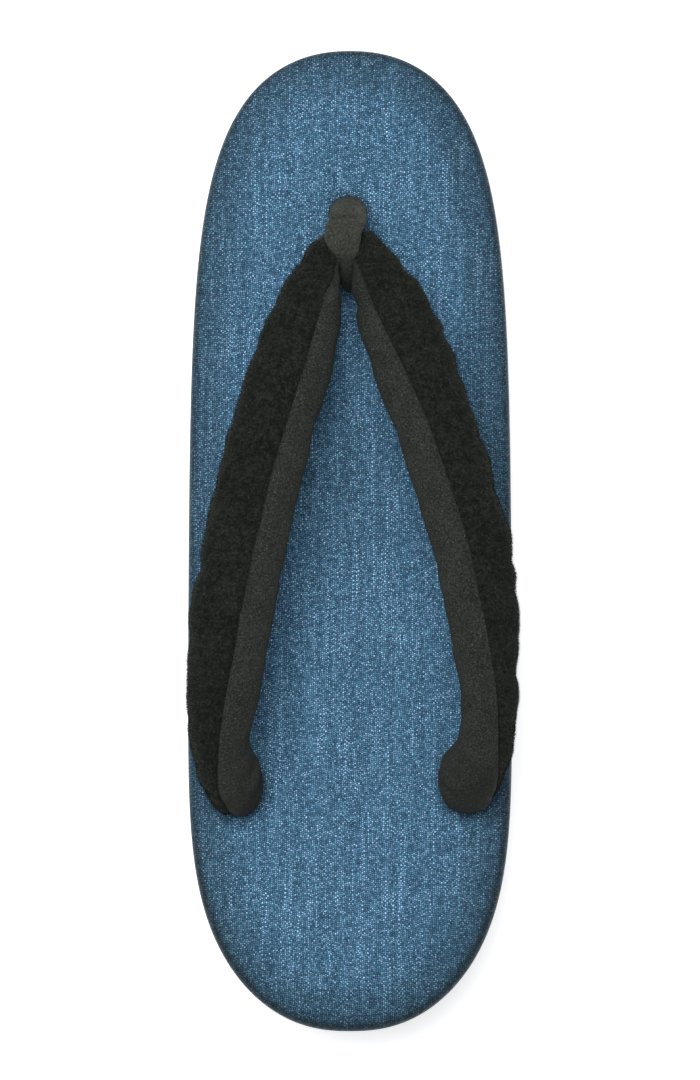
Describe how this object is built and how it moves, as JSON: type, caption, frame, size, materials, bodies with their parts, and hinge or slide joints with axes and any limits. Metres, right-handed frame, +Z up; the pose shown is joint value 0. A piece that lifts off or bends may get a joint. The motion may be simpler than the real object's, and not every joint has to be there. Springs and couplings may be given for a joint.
{
  "type": "zori sandal",
  "caption": "Japanese zori sandal with a cloth-covered platform sole, padded pile thong straps with suede lining and a suede front toe post.",
  "frame": {"origin": "on the floor, under the middle of the sandal's length and width", "axes": "+Y to the toe, +X to the right seen from above with the toe up, +Z up from the floor"},
  "size_m": [0.082, 0.2452, 0.0677],
  "materials": {
    "sole_rubber": "matte ribbed rubber",
    "side_cloth": "blue slub cloth, wrapped and glued",
    "deck_cloth": "blue slub cloth with fine pale flecks, satin",
    "strap_pile": "short black pile",
    "lining_suede": "charcoal microfibre suede",
    "post_suede": "charcoal microfibre suede"
  },
  "bodies": {
    "root": {"outsole": "sole_rubber", "platform": "side_cloth", "deck": "deck_cloth", "strap_cover": "strap_pile", "strap_lining": "lining_suede", "front_post": "post_suede"}
  },
  "joints": []
}
